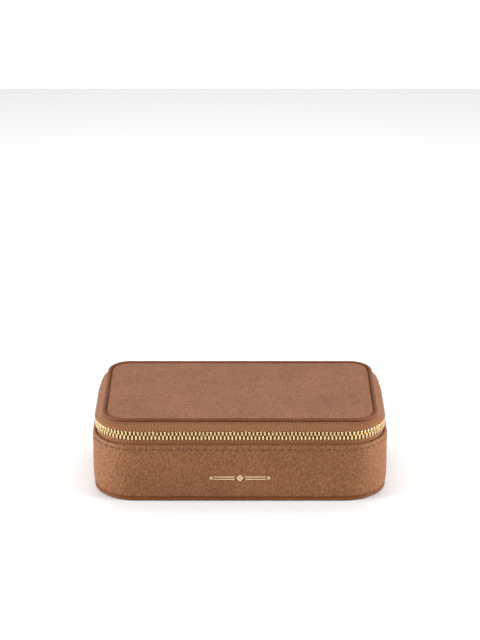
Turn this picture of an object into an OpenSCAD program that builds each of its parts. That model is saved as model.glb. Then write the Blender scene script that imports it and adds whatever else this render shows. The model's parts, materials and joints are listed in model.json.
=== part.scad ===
// Leather jewellery case with a zip running round three sides and a leather hinge at the back.
// The origin is the middle of the underside. +X runs along the length, -Y is the front, +Z is up.
// An inset is always the distance inwards from the outer face of the leather wall.

/* [Case] */
// Length of the case, left to right
length = 180; // [176:1:190]
// Depth of the case, front to back
depth = 102; // [98:1:110]
// Corner radius of the leather wall
corner_r = 26; // [25:0.5:27]
// Height of the top edge of the leather wall
wall_top = 37.4; // [36.8:0.1:37.9]
// Height of the middle of the piping round the lid
piping_z = 51.35; // [51.2:0.05:52.5]
// How far the lid's piping sits in from the wall
piping_inset = 7; // [6.9:0.1:7.2]

/* [Zip] */
// Height of the middle of the zip
zip_z = 43.1; // [42.9:0.1:43.3]
// Spacing of the teeth in one row
tooth_pitch = 2.32; // [2.3:0.01:2.4]
// Length of the leather hinge along the back
hinge_length = 116; // [110:2:116]

/* [Inside] */
// Height of the top of the dividers
divider_top = 34; // [30:1:35]
// Distance of the two long dividers from the middle
divider_x = 29; // [29:0.5:30]
// Diameter of one ring roll
roll_d = 10.8; // [10.2:0.1:10.9]
// Length of the mirror in the lid
mirror_length = 118; // [100:2:120]
// Width of the mirror in the lid
mirror_width = 58; // [50:2:60]

/* [Pull] */
// Length of the zip pull below its eye
pull_length = 23; // [18:1:24]
// Width of the zip pull
pull_width = 6; // [5:0.5:6]
// Where the closed slider stands on the back right corner, from +X
slider_park = 62; // [62:1:64]

/* [Hidden] */
$fn = 64;

// Materials by eye
tan_leather = [0.65, 0.46, 0.34];
tan_tape = [0.72, 0.53, 0.42];
suede = [0.80, 0.68, 0.56];
board_grey = [0.55, 0.52, 0.48];
brass = [0.86, 0.72, 0.42];

// Small gaps between pieces that almost touch
seam_gap = 0.05;

// Layers, from the outside of the wall inwards
leather_t = 2.1;
tape_t = 0.8;
board_t = 1.8;
lining_t = 0.8;
tape_in = leather_t + tape_t;
board_in = tape_in + board_t;
lining_in = board_in + lining_t;

// The base, from the underside up
panel_t = 1.2;
base_board_t = 1.8;
floor_z = panel_t + base_board_t;
base_piping_r = 1.2;
base_piping_gap = 0.1;
base_piping_z = base_piping_r + base_piping_gap;
base_piping_inset = base_piping_r + base_piping_gap;
underside_inset = base_piping_inset + base_piping_r + seam_gap;
wall_bottom = base_piping_z + base_piping_r;
tray_floor_z = floor_z + lining_t;
tape_overlap = 7.4;
tape_bottom = wall_top - tape_overlap;
board_drop = 0.5;
board_top = wall_top - board_drop;

// The zip's path: a rounded rectangle, open across the hinge
zip_inset = 2.5;
straight_x = length / 2 - corner_r;
straight_y = depth / 2 - corner_r;
zip_r = corner_r - zip_inset;
zip_half_x = length / 2 - zip_inset;
zip_half_y = depth / 2 - zip_inset;
corner_length = zip_r * PI / 2;
front_end = straight_x;
front_corner_end = front_end + corner_length;
side_end = front_corner_end + 2 * straight_y;
back_corner_end = side_end + corner_length;
hinge_half = hinge_length / 2;

// One tooth: the head passes the zip's middle by tooth_head, the leg reaches to the tape
tooth_width = 0.95;
tooth_thickness = 2.4;
tooth_head = 0.7;
tooth_leg = 2.9;
tooth_row_bottom = zip_z - tooth_leg;
tooth_row_top = zip_z + tooth_leg;

// The lid's rows end part-way round the back corners; the last stretch stays zipped, on the base
lid_row_angle = 45.5;
lid_tape_angle = 47.5;
back_row_angle = 51;
back_tape_angle = 50;
lid_row_end = side_end + zip_r * lid_row_angle * PI / 180;
back_row_start = side_end + zip_r * back_row_angle * PI / 180;
stop_length = 2;
stop_gap = 0.3;
stop_parting = 0.5;
stop_centre_x = hinge_half + stop_gap + stop_length / 2;
back_row_end = back_corner_end + straight_x - stop_centre_x - (stop_length + tooth_width) / 2 - stop_gap;

// The lid, from its underside up
collar_height = 0.9;
collar_top = tooth_row_top + collar_height;
flange_t = 0.6;
flange_width = 5.1;
piping_r = 1.1;
flange_top = piping_z - piping_r - seam_gap;
flange_bottom = flange_top - flange_t;
lid_board_t = 1.6;
lid_board_bottom = flange_bottom - lid_board_t;
lid_lining_bottom = lid_board_bottom - lining_t;
lid_panel_drop = 0.15;
lid_panel_t = 1;
panel_top = piping_z + piping_r - lid_panel_drop;
panel_bottom = panel_top - lid_panel_t;
tape_top_inset = piping_inset - piping_r;
panel_inset = piping_inset + piping_r + seam_gap;
flange_inset = tape_top_inset + flange_width;
lid_corner_r = 12.8;
lid_board_inset = tape_top_inset + tape_t + seam_gap;
lid_lining_reach = 1.2;
lid_lining_inset = lid_board_inset - lid_lining_reach;
lid_lining_corner_r = 17.5;
tape_cut_gap = 0.5;
lid_tape_cut = collar_top + tape_cut_gap;
hinge_gap = 0.3;

// Mirror and its frame
mirror_t = 1.6;
frame_border = 4;
frame_overlap = 2;
frame_lip = 0.6;
mirror_gap = 0.1;

// Slider and pull
slider_half_angle = 11.5;
plate_near = 1.5;
plate_t = 0.8;
lip_start = 3.2;
lip_t = 0.5;
slot_half = 0.65;
bail_offset = 3.6;
bail_r = 0.6;
bail_half = 2.9;
bail_root = 0.15;
eye_bore = 0.75;
eye_r = 1.2;
eye_half = 2.1;
neck_length = 2;
pull_t = 1;

// A rounded rectangle, inset from the outer face of the wall
module outline(inset, radius) {
    half_x = length / 2 - inset;
    half_y = depth / 2 - inset;
    square([2 * half_x, 2 * (half_y - radius)], center = true);
    square([2 * (half_x - radius), 2 * half_y], center = true);
    for (side = [-1, 1], end = [-1, 1])
        translate([side * (half_x - radius), end * (half_y - radius)]) circle(radius);
}

// The wall's own outline, inset, so that its corners stay concentric
module wall_outline(inset) {
    outline(inset, corner_r - inset);
}

// The lid's outline, whose corners are tighter than the wall's
module lid_outline(inset) {
    outline(inset, lid_corner_r + piping_inset - inset);
}

// An upright band between two insets
module wall_band(outer, inner, bottom, top) {
    translate([0, 0, bottom]) linear_extrude(top - bottom) difference() {
        wall_outline(outer);
        wall_outline(inner);
    }
}

// A flat slab of the lid
module lid_slab(inset, bottom, top) {
    translate([0, 0, bottom]) linear_extrude(top - bottom) lid_outline(inset);
}

// A round cord along a closed rounded rectangle
module cord_loop(inset, radius, cord_r, height) {
    corner_x = length / 2 - inset - radius;
    corner_y = depth / 2 - inset - radius;
    for (side = [0, 1], end = [0, 1]) mirror([side, 0, 0]) mirror([0, end, 0]) {
        translate([corner_x, corner_y, height])
            rotate_extrude(angle = 90) translate([radius, 0]) circle(cord_r);
    }
    for (end = [-1, 1]) translate([0, end * (corner_y + radius), height])
        rotate([0, 90, 0]) cylinder(h = 2 * corner_x, r = cord_r, center = true);
    for (side = [-1, 1]) translate([side * (corner_x + radius), 0, height])
        rotate([90, 0, 0]) cylinder(h = 2 * corner_y, r = cord_r, center = true);
}

// The block of space at the back that belongs to the hinge
module hinge_zone() {
    translate([-hinge_half, straight_y, 0]) cube([hinge_length, depth, 2 * piping_z]);
}

// The space over one back corner past an angle from +X
module back_corner_zone(angle, bottom, top) {
    reach = 2 * corner_r;
    corner = [straight_x, straight_y];
    edge = corner + reach * [cos(angle), sin(angle)];
    translate([0, 0, bottom]) linear_extrude(top - bottom)
        polygon([[hinge_half - 1, straight_y], corner, edge, [hinge_half - 1, edge[1]]]);
}

// Place and heading on the zip, at a distance from the middle of its front
function corner_point(end, angle) = [
    straight_x + zip_r * cos(angle),
    end * straight_y + zip_r * sin(angle),
    angle + 90
];
function half_zip_point(distance) =
    distance < front_end ? [distance, -zip_half_y, 0]
    : distance < front_corner_end ? corner_point(-1, (distance - front_end) / corner_length * 90 - 90)
    : distance < side_end ? [zip_half_x, distance - front_corner_end - straight_y, 90]
    : distance < back_corner_end ? corner_point(1, (distance - side_end) / corner_length * 90)
    : [straight_x - (distance - back_corner_end), zip_half_y, 180];
function zip_point(distance) =
    let (place = half_zip_point(abs(distance)))
    distance < 0 ? [-place[0], place[1], -place[2]] : place;

// Children stand on the zip's middle: X along the zip, Y inwards
module on_zip(distance) {
    place = zip_point(distance);
    translate([place[0], place[1], zip_z]) rotate(place[2]) children();
}

// One tooth that reaches down to the lower tape, or up to the upper tape
module tooth(row) {
    bottom = row == "lower" ? -tooth_leg : -tooth_head;
    translate([-tooth_width / 2, -tooth_thickness / 2, bottom])
        cube([tooth_width, tooth_thickness, tooth_leg + tooth_head]);
}

// The teeth of one row between two distances; the upper row stands half a pitch on
module teeth_row(row, from, to) {
    shift = row == "lower" ? 0 : tooth_pitch / 2;
    first = ceil((from - shift) / tooth_pitch);
    last = floor((to - shift) / tooth_pitch);
    for (count = [first:last]) on_zip(count * tooth_pitch + shift) tooth(row);
}

// ---- Base ----

module base_panel() {
    color(tan_leather) linear_extrude(panel_t) wall_outline(underside_inset);
}

module base_board() {
    color(board_grey) translate([0, 0, panel_t]) linear_extrude(base_board_t) wall_outline(underside_inset);
}

module base_piping() {
    color(tan_leather)
        cord_loop(base_piping_inset, corner_r - base_piping_inset, base_piping_r, base_piping_z);
}

module wall_leather() {
    color(tan_leather) wall_band(0, leather_t, wall_bottom, wall_top);
}

module wall_board() {
    color(board_grey) wall_band(tape_in, board_in, floor_z, board_top);
}

// The suede lining of the tray: its floor, and its wall, which turns over the top of the board
module tray_floor() {
    color(suede) translate([0, 0, floor_z]) linear_extrude(lining_t) wall_outline(board_in);
}

module tray_wall() {
    color(suede) {
        wall_band(board_in, lining_in, tray_floor_z, board_top);
        wall_band(tape_in, lining_in, board_top, board_top + lining_t);
    }
}

// The tray's inside, and the dividers across it
divider_t = 2.4;
tray_half_y = depth / 2 - lining_in;
tray_half_x = length / 2 - lining_in;

module long_divider(side) {
    color(suede) translate([side * divider_x - divider_t / 2, -tray_half_y, tray_floor_z])
        cube([divider_t, 2 * tray_half_y, divider_top - tray_floor_z]);
}

module divider_left() {
    long_divider(-1);
}

module divider_right() {
    long_divider(1);
}

module divider_cross() {
    start = divider_x + divider_t / 2;
    color(suede) translate([start, -divider_t / 2, tray_floor_z])
        cube([tray_half_x - start, divider_t, divider_top - tray_floor_z]);
}

// The ring rolls lie side by side on a foam bed between the long dividers
roll_count = 5;
roll_gap = 0.2;
roll_pitch = roll_d + roll_gap;
roll_length = 2 * tray_half_y - 3;
roll_z = 25.6;
bed_gap = 0.3;
bed_half_x = divider_x - divider_t / 2 - bed_gap;
bed_half_y = tray_half_y - bed_gap;

module ring_bed() {
    color(suede) translate([-bed_half_x, -bed_half_y, tray_floor_z])
        cube([2 * bed_half_x, 2 * bed_half_y, roll_z - roll_d / 2 - tray_floor_z]);
}

module ring_roll(index) {
    across = (index - (roll_count + 1) / 2) * roll_pitch;
    straight = roll_length - roll_d;
    color(suede) translate([across, 0, roll_z]) rotate([90, 0, 0]) {
        cylinder(h = straight, r = roll_d / 2, center = true);
        for (end = [-1, 1]) translate([0, 0, end * straight / 2]) sphere(roll_d / 2);
    }
}

module hinge_leaf_lower() {
    back = depth / 2 - leather_t;
    color(tan_leather) translate([-hinge_half, back - tape_t, tape_bottom])
        cube([hinge_length, tape_t, zip_z - hinge_gap - tape_bottom]);
}

// ---- Zip, the rows and tapes that stay on the base ----

module tape_lower() {
    color(tan_tape) difference() {
        wall_band(leather_t, tape_in, tape_bottom, tooth_row_bottom);
        hinge_zone();
    }
}

module teeth_lower() {
    color(brass) teeth_row("lower", -lid_row_end, lid_row_end);
}

// A strip of the upper tape that stays over the zipped end of the teeth
module back_tape() {
    strip = [tape_t, collar_top - tooth_row_top];
    inner = corner_r - tape_in;
    translate([straight_x, straight_y, tooth_row_top]) {
        rotate(back_tape_angle)
            rotate_extrude(angle = 90 - back_tape_angle) translate([inner, 0]) square(strip);
        translate([hinge_half - straight_x, inner, 0]) cube([straight_x - hinge_half, strip[0], strip[1]]);
    }
}

module tape_back_right() {
    color(tan_tape) back_tape();
}

module tape_back_left() {
    color(tan_tape) mirror([1, 0, 0]) back_tape();
}

module teeth_back_right() {
    color(brass) {
        teeth_row("lower", back_row_start, back_row_end);
        teeth_row("upper", back_row_start, back_row_end);
    }
}

module teeth_back_left() {
    color(brass) {
        teeth_row("lower", -back_row_end, -back_row_start);
        teeth_row("upper", -back_row_end, -back_row_start);
    }
}

// The stop at the opened end clamps both tapes together
module zip_bottom_stop() {
    color(brass) translate([-stop_centre_x, zip_half_y, zip_z])
        cube([stop_length, tooth_thickness, 2 * tooth_leg], center = true);
}

// The stops at the closed end are two, one for each row
module zip_top_stops() {
    stop_height = tooth_leg - stop_parting;
    color(brass) for (row = [-1, 1]) {
        translate([stop_centre_x, zip_half_y, zip_z + row * (tooth_leg - stop_height / 2)])
            cube([stop_length, tooth_thickness, stop_height], center = true);
    }
}

// ---- Lid ----

// A thin plate of the wall's outline and one of the lid's, joined by a sloping side
module sloping_block(inset_low, inset_high) {
    sliver = 0.001;
    hull() {
        translate([0, 0, collar_top]) linear_extrude(sliver) wall_outline(inset_low);
        translate([0, 0, flange_bottom - sliver]) linear_extrude(sliver) lid_outline(inset_high);
    }
}

// Upright where the teeth hold it, then leaning in to the piping, with a flange under the piping
module tape_upper() {
    color(tan_tape) difference() {
        union() {
            wall_band(leather_t, tape_in, tooth_row_top, collar_top);
            difference() {
                sloping_block(leather_t, tape_top_inset);
                sloping_block(tape_in, tape_top_inset + tape_t);
            }
            translate([0, 0, flange_bottom]) linear_extrude(flange_t) difference() {
                lid_outline(tape_top_inset);
                lid_outline(flange_inset);
            }
        }
        hinge_zone();
        for (side = [0, 1]) mirror([side, 0, 0]) {
            back_corner_zone(lid_tape_angle, tooth_row_top - 1, lid_tape_cut);
        }
    }
}

module teeth_upper() {
    color(brass) teeth_row("upper", -lid_row_end, lid_row_end);
}

// The upper half of the leather hinge, leaning in to the piping
module hinge_leaf_upper() {
    foot = depth / 2 - leather_t;
    head = depth / 2 - tape_top_inset;
    tail = depth / 2 - flange_inset;
    foot_z = zip_z + hinge_gap;
    color(tan_leather) translate([-hinge_half, 0, 0]) rotate([90, 0, 90]) linear_extrude(hinge_length)
        polygon([
            [foot, foot_z], [foot, collar_top], [head, flange_bottom], [head, flange_top],
            [tail, flange_top], [tail, flange_bottom], [head - tape_t, flange_bottom],
            [foot - tape_t, collar_top], [foot - tape_t, foot_z]
        ]);
}

module top_piping() {
    color(tan_leather) cord_loop(piping_inset, lid_corner_r, piping_r, piping_z);
}

module top_panel() {
    color(tan_leather) lid_slab(panel_inset, panel_bottom, panel_top);
}

module top_padding() {
    color(suede) {
        lid_slab(panel_inset, flange_top, panel_bottom);
        lid_slab(flange_inset + seam_gap, flange_bottom, flange_top);
    }
}

module top_board() {
    color(board_grey) lid_slab(lid_board_inset, lid_board_bottom, flange_bottom);
}

module lid_lining() {
    color(suede) translate([0, 0, lid_lining_bottom]) linear_extrude(lining_t)
        outline(lid_lining_inset, lid_lining_corner_r);
}

module lid_mirror() {
    color("silver") translate([0, 0, lid_lining_bottom - mirror_t / 2])
        cube([mirror_length, mirror_width, mirror_t], center = true);
}

// A leather frame that laps the mirror's edge
module mirror_frame() {
    seat = [mirror_length + 2 * mirror_gap, mirror_width + 2 * mirror_gap];
    outer = seat + 2 * [frame_border, frame_border];
    window = seat - 2 * [frame_overlap, frame_overlap];
    height = mirror_t + mirror_gap + frame_lip;
    color(tan_leather) translate([0, 0, lid_lining_bottom - height]) difference() {
        linear_extrude(height) square(outer, center = true);
        translate([0, 0, frame_lip]) linear_extrude(height) square(seat, center = true);
        translate([0, 0, -frame_lip]) linear_extrude(height) square(window, center = true);
    }
}

// ---- Slider and pull ----

// Children are drawn round the back right corner, centred on the parked slider
module on_slider(half_angle) {
    translate([straight_x, straight_y, zip_z]) rotate(slider_park - half_angle) children();
}

// A curved plate with two lips turned in towards the tape; side 1 is outside, -1 inside
module slider_plate(side) {
    lip_end = lip_start + lip_t;
    profile = [
        [slot_half, lip_start], [plate_near, lip_start], [plate_near, -lip_start], [slot_half, -lip_start],
        [slot_half, -lip_end], [plate_near + plate_t, -lip_end], [plate_near + plate_t, lip_end],
        [slot_half, lip_end]
    ];
    on_slider(slider_half_angle) rotate_extrude(angle = 2 * slider_half_angle)
        polygon([for (point = profile) [zip_r + side * point[0], point[1]]]);
}

module slider_outer_plate() {
    color(brass) slider_plate(1);
}

module slider_inner_plate() {
    color(brass) slider_plate(-1);
}

// Children are drawn at the pull's pivot: X outwards from the case, Y along the zip
module on_bail() {
    translate([straight_x, straight_y, zip_z]) rotate(slider_park)
        translate([zip_r + bail_offset, 0, 0]) children();
}

// A staple whose bar carries the pull's eye
module slider_bail() {
    leg = bail_offset - plate_near - plate_t + bail_root;
    color(brass) difference() {
        on_bail() {
            rotate([90, 0, 0]) cylinder(h = 2 * bail_half, r = bail_r, center = true);
            for (end = [-1, 1]) translate([0, end * bail_half, 0]) {
                rotate([0, -90, 0]) cylinder(h = leg, r = bail_r);
                sphere(bail_r);
            }
        }
        translate([straight_x, straight_y, 0]) cylinder(h = 2 * zip_z, r = zip_r + plate_near + plate_t);
    }
}

// A flat tab that hangs from a rolled eye
module zip_pull() {
    neck = eye_r + neck_length;
    blade = pull_length - neck_length - pull_width / 2;
    color(brass) on_bail() difference() {
        union() {
            rotate([90, 0, 0]) cylinder(h = 2 * eye_half, r = eye_r, center = true);
            translate([pull_t / 2, 0, 0]) rotate([0, -90, 0]) linear_extrude(pull_t) {
                translate([-neck, -eye_half]) square([neck, 2 * eye_half]);
                translate([-neck - blade, -pull_width / 2]) square([blade, pull_width]);
                translate([-neck - blade, 0]) circle(pull_width / 2);
            }
        }
        rotate([90, 0, 0]) cylinder(h = 4 * eye_half, r = eye_bore, center = true);
    }
}

base_panel();
base_board();
base_piping();
wall_leather();
wall_board();
tray_floor();
tray_wall();
divider_left();
divider_right();
divider_cross();
ring_bed();
for (index = [1:roll_count]) ring_roll(index);
hinge_leaf_lower();
tape_lower();
teeth_lower();
tape_back_left();
tape_back_right();
teeth_back_left();
teeth_back_right();
zip_bottom_stop();
zip_top_stops();
tape_upper();
teeth_upper();
hinge_leaf_upper();
top_piping();
top_panel();
top_padding();
top_board();
lid_lining();
lid_mirror();
mirror_frame();
slider_outer_plate();
slider_inner_plate();
slider_bail();
zip_pull();
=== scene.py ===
import json
import math

import bmesh
import bpy
import numpy as np
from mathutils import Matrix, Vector
from mathutils.geometry import tessellate_polygon


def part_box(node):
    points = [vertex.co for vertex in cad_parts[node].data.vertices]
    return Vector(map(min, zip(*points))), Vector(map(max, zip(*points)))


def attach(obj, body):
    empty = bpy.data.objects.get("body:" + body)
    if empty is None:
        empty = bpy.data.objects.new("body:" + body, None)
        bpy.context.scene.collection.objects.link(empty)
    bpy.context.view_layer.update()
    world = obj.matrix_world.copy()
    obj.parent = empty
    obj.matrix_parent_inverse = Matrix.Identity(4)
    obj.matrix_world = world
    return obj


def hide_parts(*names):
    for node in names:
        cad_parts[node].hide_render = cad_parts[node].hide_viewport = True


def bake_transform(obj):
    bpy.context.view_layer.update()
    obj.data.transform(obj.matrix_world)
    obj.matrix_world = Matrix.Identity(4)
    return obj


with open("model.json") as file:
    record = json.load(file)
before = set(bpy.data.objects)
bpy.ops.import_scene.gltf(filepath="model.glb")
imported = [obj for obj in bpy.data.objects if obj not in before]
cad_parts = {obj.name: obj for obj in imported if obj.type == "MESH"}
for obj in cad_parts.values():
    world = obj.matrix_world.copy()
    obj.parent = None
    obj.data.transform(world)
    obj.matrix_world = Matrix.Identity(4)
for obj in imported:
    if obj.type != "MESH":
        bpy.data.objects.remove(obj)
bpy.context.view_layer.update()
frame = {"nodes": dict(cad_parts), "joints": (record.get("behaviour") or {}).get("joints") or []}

# Looks of the leather jewellery case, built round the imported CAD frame.
# Lengths are in millimetres until they reach Blender, which has metres.
# A profile is a list of (inset, height): how far in from the wall's outer face, and how high.
# A path is a row of distances along the zip from the middle of the front, rising to the right.

MM = 0.001


def box_mm(node):
    """A CAD node's lowest and highest corners, in millimetres."""
    low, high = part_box(node)
    return np.array(low) / MM, np.array(high) / MM


# ---- Dimensions, from the frame ----

wall_low, wall_high = box_mm("wall_leather")
HALF_X, HALF_Y, WALL_TOP = wall_high
WALL_BOTTOM = wall_low[2]
CORNER = 26.0
ZIP_INSET = 2.5
ZIP_RADIUS = CORNER - ZIP_INSET
STRAIGHT_X, STRAIGHT_Y = HALF_X - CORNER, HALF_Y - CORNER
TEETH_TOP = box_mm("teeth_upper")[1][2]
ZIP_Z = (box_mm("teeth_lower")[0][2] + TEETH_TOP) / 2
TOOTH_REACH = TEETH_TOP - ZIP_Z
TOOTH_PITCH = 2.32
TOOTH_HEAD = 0.7


def piping_line(node):
    """A piping's radius, and the height and inset of its middle line."""
    low, high = box_mm(node)
    radius = (high[2] - low[2]) / 2
    return radius, (high[2] + low[2]) / 2, HALF_X - high[0] + radius


PIPING_R, PIPING_Z, PIPING_INSET = piping_line("top_piping")
LID_CORNER = 12.8
SEAM_INSET = PIPING_INSET - PIPING_R

HINGE_HALF = box_mm("hinge_leaf_lower")[1][0]
hinge = next(joint for joint in frame["joints"] if joint["name"] == "lid_hinge")
HINGE_Y, HINGE_Z = hinge["pos_m"][1] / MM, hinge["pos_m"][2] / MM
TAPE_INSET = HALF_Y - HINGE_Y
TAPE_T = 0.8

# Distances where the zip's straights and corners end, up to the middle of the back
QUARTER = ZIP_RADIUS * math.pi / 2
PATH_STOPS = np.cumsum([0, STRAIGHT_X, QUARTER, 2 * STRAIGHT_Y, QUARTER, STRAIGHT_X])
HALF_PATH = PATH_STOPS[-1]


def back_corner(angle):
    """Distance of a point on the back corner, whose angle is in degrees from +X."""
    return PATH_STOPS[3] + ZIP_RADIUS * math.radians(angle)


# The lid's row of teeth and its tape end on the back corners, and the parted rows begin there
LID_ROW_END, LID_TAPE_END = back_corner(45.5), back_corner(47.5)
BACK_ROW_START, BACK_TAPE_START = back_corner(51.0), back_corner(50.0)
PATH_END = PATH_STOPS[4] + STRAIGHT_X - HINGE_HALF
STOP_ROOM = 3.1
BACK_ROW_END = PATH_END - STOP_ROOM


# ---- Noise, the same on every run ----


def lattice(cells, seed, channel):
    """A number from 0 to 1 for each whole-numbered cell, from its bits well mixed."""
    x, y, z = (cells[..., axis].astype(np.int64).astype(np.uint64) for axis in range(3))
    mixed = x * np.uint64(73856093) ^ y * np.uint64(19349663) ^ z * np.uint64(83492791)
    mixed ^= np.uint64(seed * 2654435761 + channel * 40503 + 97)
    mixed ^= mixed >> np.uint64(29)
    mixed *= np.uint64(0xBF58476D1CE4E5B9)
    mixed ^= mixed >> np.uint64(32)
    mixed *= np.uint64(0x94D049BB133111EB)
    mixed ^= mixed >> np.uint64(29)
    return (mixed % np.uint64(1 << 24)).astype(float) / float(1 << 24)


def eased(share):
    return share * share * (3 - 2 * share)


def soft_noise(points, size, seed=0, channel=0):
    """Smooth noise from -1 to 1, whose bumps are about size across."""
    scaled = points / size
    cell = np.floor(scaled)
    part = eased(scaled - cell)
    total = np.zeros(points.shape[:-1])
    for corner in np.ndindex(2, 2, 2):
        weight = np.ones(points.shape[:-1])
        for axis in range(3):
            weight = weight * (part[..., axis] if corner[axis] else 1 - part[..., axis])
        total += weight * lattice(cell + np.array(corner), seed, channel)
    return 2 * total - 1


def pebbles(points, size, seed=0):
    """0 in the creases between a leather's pebbles, 1 on top of them."""
    warp_size, warp_amount, crease_width = 2.1, 0.55, 0.42
    warps = [soft_noise(points, warp_size * size, seed, channel) for channel in (1, 2, 3)]
    scaled = points / size + warp_amount * np.stack(warps, -1)
    cell = np.floor(scaled)
    nearest = np.full(points.shape[:-1], 9.0)
    second = nearest.copy()
    for step in np.ndindex(3, 3, 3):
        other = cell + np.array(step) - 1
        middle = other + np.stack([lattice(other, seed, channel) for channel in (4, 5, 6)], -1)
        distance = np.linalg.norm(scaled - middle, axis=-1)
        second = np.minimum(second, np.maximum(nearest, distance))
        nearest = np.minimum(nearest, distance)
    return eased(np.clip((second - nearest) / crease_width, 0, 1))


# ---- Mesh building ----


def face_outwards(mesh, merge):
    """Turns faces outwards, once points closer than merge are joined and flat faces dropped."""
    work = bmesh.new()
    work.from_mesh(mesh)
    if merge:
        bmesh.ops.remove_doubles(work, verts=work.verts, dist=merge)
        bmesh.ops.dissolve_degenerate(work, edges=work.edges, dist=merge)
    bmesh.ops.recalc_face_normals(work, faces=work.faces)
    work.to_mesh(mesh)
    work.free()


def make_piece(name, points_mm, faces, material, merge=None, smooth=True, **attributes):
    """A piece from points in millimetres, and faces as index lists or from the grid's shape."""
    points = np.asarray(points_mm)
    if callable(faces):
        faces = faces(*points.shape[:2])
    mesh = bpy.data.meshes.new(name)
    mesh.from_pydata((points.reshape(-1, 3) * MM).tolist(), [], faces)
    mesh.update()
    mesh.polygons.foreach_set("use_smooth", [smooth] * len(mesh.polygons))
    for key, values in attributes.items():
        layer = mesh.attributes.new(key, "FLOAT", "POINT")
        layer.data.foreach_set("value", np.asarray(values, np.float32).ravel())
    face_outwards(mesh, merge)
    mesh.materials.append(material)
    piece = bpy.data.objects.new(name, mesh)
    bpy.context.scene.collection.objects.link(piece)
    return piece


def settle(piece, body, slot, *nodes):
    """Parents a piece to what it rides on and hides the CAD nodes it stands for; slot is not used.
    """
    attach(piece, body)
    if nodes:
        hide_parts(*nodes)


def grid_faces(rows, columns, wrap_rows, wrap_columns):
    """Quads over a grid of points that may close on itself either way."""
    row = np.arange(rows if wrap_rows else rows - 1)[:, None]
    column = np.arange(columns if wrap_columns else columns - 1)[None, :]
    next_row, next_column = (row + 1) % rows, (column + 1) % columns
    corners = [
        row * columns + column,
        row * columns + next_column,
        next_row * columns + next_column,
        next_row * columns + column,
    ]
    return np.stack(corners, -1).reshape(-1, 4).tolist()


def band_faces(rows, columns):
    """A stack of rings with open ends."""
    return grid_faces(rows, columns, False, True)


def torus_faces(rows, columns):
    """A ring swept round a loop."""
    return grid_faces(rows, columns, True, True)


def lathe_faces(rows, columns):
    """A stack of rings with its two ends closed."""
    last = (rows - 1) * columns
    ends = [list(range(columns)), list(range(last, last + columns))[::-1]]
    return band_faces(rows, columns) + ends


def sweep_faces(rows, columns):
    """A grid whose rows go round a section, with the sweep's two ends closed."""
    count = rows * columns
    ends = [list(range(0, count, columns)), list(range(columns - 1, count, columns))[::-1]]
    return grid_faces(rows, columns, True, False) + ends


def stations(path):
    """Corner multipliers and outward angle at distances along the path."""
    side = np.where(path < 0, -1.0, 1.0)
    along = np.abs(path)
    ends = PATH_STOPS
    across = np.interp(along, [0, ends[1], ends[4], ends[5]], [0, 1, 1, 0]) * side
    depth = np.interp(along, [0, ends[2], ends[3], ends[5]], [-1, -1, 1, 1])
    angle = np.interp(along, ends, [-90, -90, 0, 0, 90, 90])
    angle = np.where(side < 0, 180 - angle, angle)
    return across, depth, np.radians(angle)


def on_loop(path, inset, radius, height):
    """Points of a rounded rectangle, an inset in from the wall, with that corner radius."""
    across, depth, angle = stations(np.asarray(path, float))
    x = across * (HALF_X - inset - radius) + radius * np.cos(angle)
    y = depth * (HALF_Y - inset - radius) + radius * np.sin(angle)
    return np.stack([x, y, np.full_like(angle, height)], -1)


def closed_path(step):
    """Even distances all the way round, symmetrical left to right and front to back."""
    count = 4 * round(HALF_PATH / step / 2)
    return -HALF_PATH + np.arange(count) * 2 * HALF_PATH / count


def open_path(side, start, end, step):
    """Even distances from start to end on one side of the case, in rising order."""
    low, high = sorted((side * start, side * end))
    return np.linspace(low, high, max(2, round((high - low) / step) + 1))


def wall_corner(inset):
    """The corner radius of a loop that keeps the wall's corners concentric."""
    return np.maximum(CORNER - inset, 0.4)


def lid_corner(inset):
    """The same for the lid's sharper corners."""
    return np.maximum(LID_CORNER + PIPING_INSET - inset, 0.4)


def rounded(points, rounds=3, closed=False):
    """Cuts the corners of a profile until it is smooth; an open one keeps its ends."""
    points = np.asarray(points, float)
    for _ in range(rounds):
        following = np.roll(points, -1, 0) if closed else points[1:]
        here = points if closed else points[:-1]
        cut = np.stack([0.75 * here + 0.25 * following, 0.25 * here + 0.75 * following], 1)
        cut = cut.reshape(-1, points.shape[1])
        points = cut if closed else np.vstack([points[:1], cut, points[-1:]])
    return points


def lengths_along(points):
    """How far along a polyline each of its points lies."""
    steps = np.linalg.norm(np.diff(points, axis=0), axis=1)
    return np.concatenate([[0], np.cumsum(steps)])


def resampled(points, step):
    """The same polyline with points about step apart."""
    points = np.asarray(points, float)
    lengths = lengths_along(points)
    wanted = np.linspace(0, lengths[-1], max(2, round(lengths[-1] / step) + 1))
    return np.stack([np.interp(wanted, lengths, points[:, axis]) for axis in (0, 1)], -1)


def inward_normals(outline):
    """Unit normals of an outline that runs upwards, on the side of the case's inside."""
    slope = np.gradient(outline, axis=0)
    normal = np.stack([slope[:, 1], -slope[:, 0]], -1)
    return normal / np.linalg.norm(normal, axis=1, keepdims=True)


def joined(*parts):
    """Profile parts end to end, with repeated points left out."""
    points = np.vstack([np.asarray(part, float) for part in parts])
    keep = np.concatenate([[True], np.linalg.norm(np.diff(points, axis=0), axis=1) > 0.001])
    return points[keep]


def loft(path, profile, corner=wall_corner):
    """Grid of points, one row per profile point, along the loop."""
    rows = []
    for inset, height in profile:
        radius = min(corner(inset), HALF_Y - inset)
        rows.append(on_loop(path, inset, radius, height))
    return np.stack(rows)


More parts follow.
